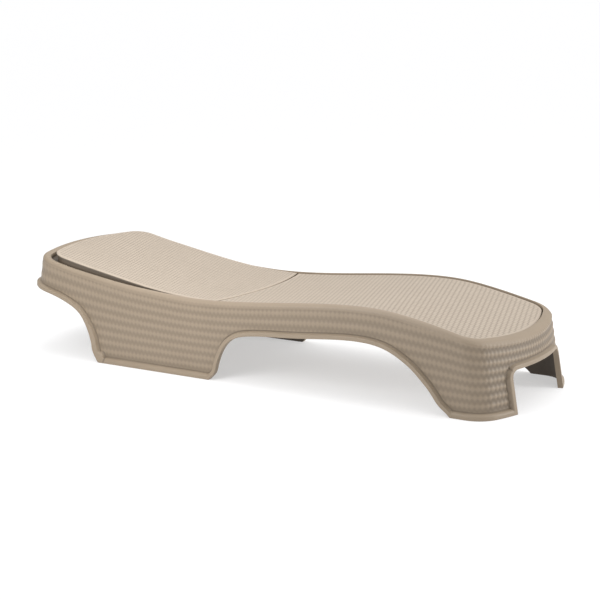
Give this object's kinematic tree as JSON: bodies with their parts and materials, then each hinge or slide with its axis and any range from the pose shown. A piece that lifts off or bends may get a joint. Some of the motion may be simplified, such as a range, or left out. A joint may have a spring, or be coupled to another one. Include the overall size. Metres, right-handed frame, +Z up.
{
  "type": "sun lounger",
  "caption": "Low moulded lounger with a wave-shaped woven-look shell, flat legs, an inset seat deck and a backrest panel that tilts up on a ratchet prop.",
  "frame": {"origin": "on the ground under the middle of the lounger's outer box", "axes": "+X along the lounger toward the foot end, +Y to the left of someone lying on it, +Z up"},
  "size_m": [2.0578, 0.65, 0.3985],
  "materials": {
    "shell_plastic": "moulded basket weave, satin-matte warm taupe polypropylene",
    "deck_plastic": "moulded flat-band weave, satin-matte warm beige polypropylene",
    "dark_plastic": "plain matt dark brown nylon",
    "beam_metal": "mill finish",
    "prop_steel": "taupe powder coat",
    "screw_steel": "bright zinc plate"
  },
  "bodies": {
    "base": {"body_shell": "shell_plastic", "seat_deck": "deck_plastic", "cross_beam_seam": "beam_metal", "cross_beam_seat": "beam_metal", "cross_beam_knee": "beam_metal", "hinge_bush_left": "dark_plastic", "hinge_bush_right": "dark_plastic", "ratchet_rack_left": "dark_plastic", "ratchet_rack_right": "dark_plastic", "deck_screws": "screw_steel", "beam_screws": "screw_steel", "rack_screws": "screw_steel"},
    "backrest": {"backrest_panel": "deck_plastic", "backrest_frame": "shell_plastic", "hinge_pin_left": "screw_steel", "hinge_pin_right": "screw_steel", "pivot_block_left": "dark_plastic", "pivot_block_right": "dark_plastic", "pivot_pin_left": "screw_steel", "pivot_pin_right": "screw_steel", "panel_screws": "screw_steel", "block_screws": "screw_steel"},
    "prop": {"prop_bar": "prop_steel", "prop_arm_left": "prop_steel", "prop_arm_right": "prop_steel", "bar_cap_left": "dark_plastic", "bar_cap_right": "dark_plastic"}
  },
  "joints": [
    {"name": "backrest_tilt", "type": "hinge", "parent": "base", "child": "backrest", "pos_m": [-0.15044, 0, 0.27386], "axis": [0, 1, 0], "range_deg": [0, 60]},
    {"name": "prop_swing", "type": "hinge", "parent": "backrest", "child": "prop", "pos_m": [-0.44041, 0, 0.27731], "axis": [0, 1, 0], "range_deg": [-116, 0]}
  ],
  "couplings": [
    {"joint": "prop_swing", "follows": "backrest_tilt", "ratio": -1.905}
  ]
}
